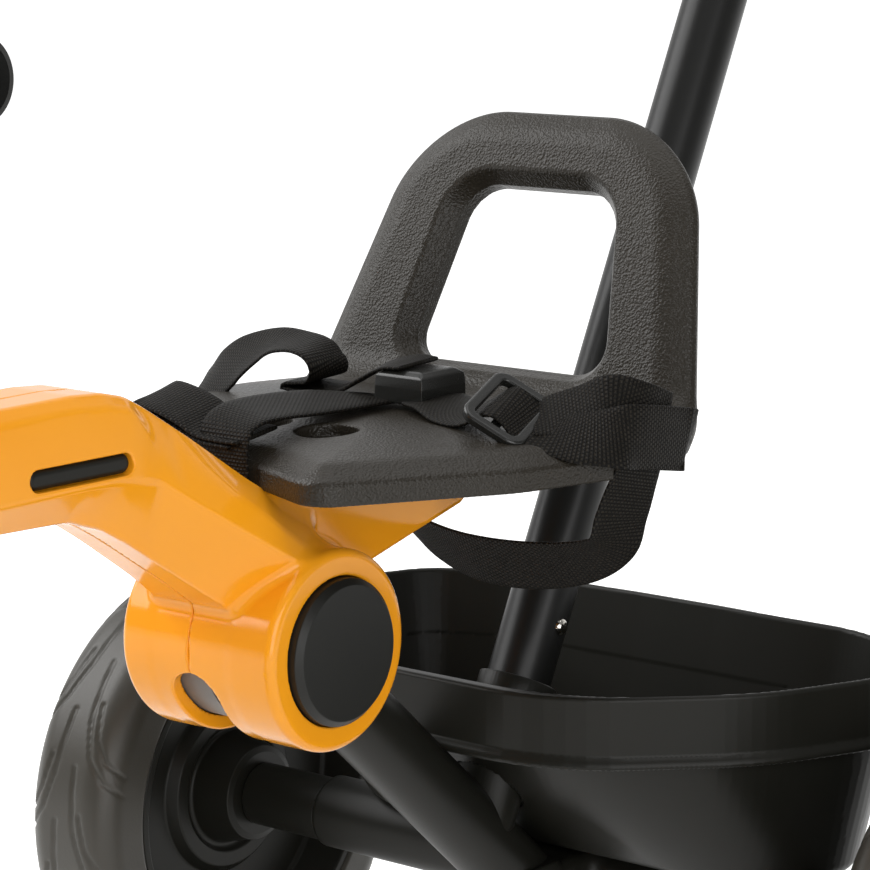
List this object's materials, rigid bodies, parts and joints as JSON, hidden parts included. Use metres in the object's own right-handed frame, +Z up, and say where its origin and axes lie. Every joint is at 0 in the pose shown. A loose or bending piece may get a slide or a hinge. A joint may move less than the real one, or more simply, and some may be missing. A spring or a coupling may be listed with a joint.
{
  "type": "toddler push along trike",
  "caption": "Child's tricycle with a moulded beam, folding hub, seat with harness, rear basket, lift-out push bar and a pedalled front wheel.",
  "frame": {"origin": "centre of the bounding box at ground level", "axes": "+Z up, -Y the way it travels, +X to the child's left"},
  "size_m": [0.484, 1.0394, 0.942],
  "materials": {
    "body_plastic": "glossy moulded orange",
    "black_plastic": "satin moulded black",
    "seat_plastic": "fine pebbled black",
    "drum_plastic": "plain moulded grey",
    "webbing": "woven black webbing",
    "tyre": "smooth black foam tyre",
    "grip_rubber": "matt black",
    "black_metal": "satin black coat",
    "steel": "plated"
  },
  "bodies": {
    "chassis": {"beam_shell_left": "body_plastic", "beam_shell_right": "body_plastic", "shell_screws": "steel", "slot_insert_left": "black_plastic", "slot_insert_right": "black_plastic", "pivot_shaft": "steel", "head_bush_upper": "black_plastic", "head_bush_lower": "black_plastic", "seat_shell": "seat_plastic", "seat_screws": "steel", "crotch_strap": "webbing", "waist_strap_left": "webbing", "waist_strap_right": "webbing", "buckle_housing": "black_plastic", "button_spring_left": "steel", "button_spring_right": "steel"},
    "buckle": {"buckle_tongue": "black_plastic", "strap_slider": "black_plastic"},
    "left_disc": {"hub_button_left": "black_plastic"},
    "right_disc": {"hub_button_right": "black_plastic"},
    "rear_frame": {"pivot_drum": "drum_plastic", "rear_leg": "black_plastic", "cross_member": "black_plastic", "axle_sleeve_left": "black_plastic", "axle_sleeve_right": "black_plastic", "axle_rod": "steel", "axle_nuts": "steel", "basket": "black_plastic", "basket_screws": "steel", "push_socket": "black_plastic", "push_spigot": "steel", "socket_collar": "black_plastic", "snap_clip": "steel"},
    "rear_wheel_left": {"rear_tyre_left": "tyre", "rear_rim_left": "black_plastic", "hub_cap_left": "black_plastic"},
    "rear_wheel_right": {"rear_tyre_right": "tyre", "rear_rim_right": "black_plastic", "hub_cap_right": "black_plastic"},
    "push_bar": {"push_tube": "black_metal", "handle_tee": "black_plastic", "handle_bar": "steel", "handle_grip_left": "grip_rubber", "handle_grip_right": "grip_rubber"},
    "steering": {"fork": "black_plastic", "steering_column": "steel", "handlebar": "steel", "handlebar_cover": "body_plastic", "bar_grip_left": "grip_rubber", "bar_grip_right": "grip_rubber", "clamp_bolt": "steel"},
    "front_wheel": {"front_tyre": "tyre", "front_rim": "black_plastic", "crank_axle": "steel", "crank_arm_left": "black_plastic", "crank_arm_right": "black_plastic"},
    "left_pedal": {"pedal_left": "grip_rubber"},
    "right_pedal": {"pedal_right": "grip_rubber"}
  },
  "joints": [
    {"name": "buckle_release", "type": "slide", "parent": "chassis", "child": "buckle", "axis": [1, 0, 0], "range_m": [0, 0.022], "deforming": ["waist_strap_left"]},
    {"name": "left_disc_press", "type": "slide", "parent": "chassis", "child": "left_disc", "axis": [-1, 0, 0], "range_m": [0, 0.0035], "stiffness_N_per_m": 600, "deforming": ["button_spring_left"]},
    {"name": "right_disc_press", "type": "slide", "parent": "chassis", "child": "right_disc", "axis": [1, 0, 0], "range_m": [0, 0.0035], "stiffness_N_per_m": 600, "deforming": ["button_spring_right"]},
    {"name": "rear_fold", "type": "hinge", "parent": "chassis", "child": "rear_frame", "pos_m": [0, -0.02274, 0.255], "axis": [1, 0, 0], "range_deg": [-95, 0]},
    {"name": "rear_wheel_left_spin", "type": "hinge", "parent": "rear_frame", "child": "rear_wheel_left", "pos_m": [0.214, 0.18726, 0.109], "axis": [1, 0, 0], "continuous": true},
    {"name": "rear_wheel_right_spin", "type": "hinge", "parent": "rear_frame", "child": "rear_wheel_right", "pos_m": [-0.214, 0.18726, 0.109], "axis": [1, 0, 0], "continuous": true},
    {"name": "push_bar_lift", "type": "slide", "parent": "rear_frame", "child": "push_bar", "axis": [0, 0.4462, 0.8949], "range_m": [0, 0.11], "deforming": ["snap_clip"]},
    {"name": "steer", "type": "hinge", "parent": "chassis", "child": "steering", "pos_m": [0, -0.39474, 0.125], "axis": [0, 0.2079, 0.9781], "range_deg": [-40, 40]},
    {"name": "front_wheel_spin", "type": "hinge", "parent": "steering", "child": "front_wheel", "pos_m": [0, -0.39474, 0.125], "axis": [1, 0, 0], "continuous": true},
    {"name": "left_pedal_spin", "type": "hinge", "parent": "front_wheel", "child": "left_pedal", "pos_m": [0.095, -0.45458, 0.0996], "axis": [1, 0, 0], "continuous": true},
    {"name": "right_pedal_spin", "type": "hinge", "parent": "front_wheel", "child": "right_pedal", "pos_m": [-0.095, -0.3349, 0.1504], "axis": [1, 0, 0], "continuous": true}
  ]
}
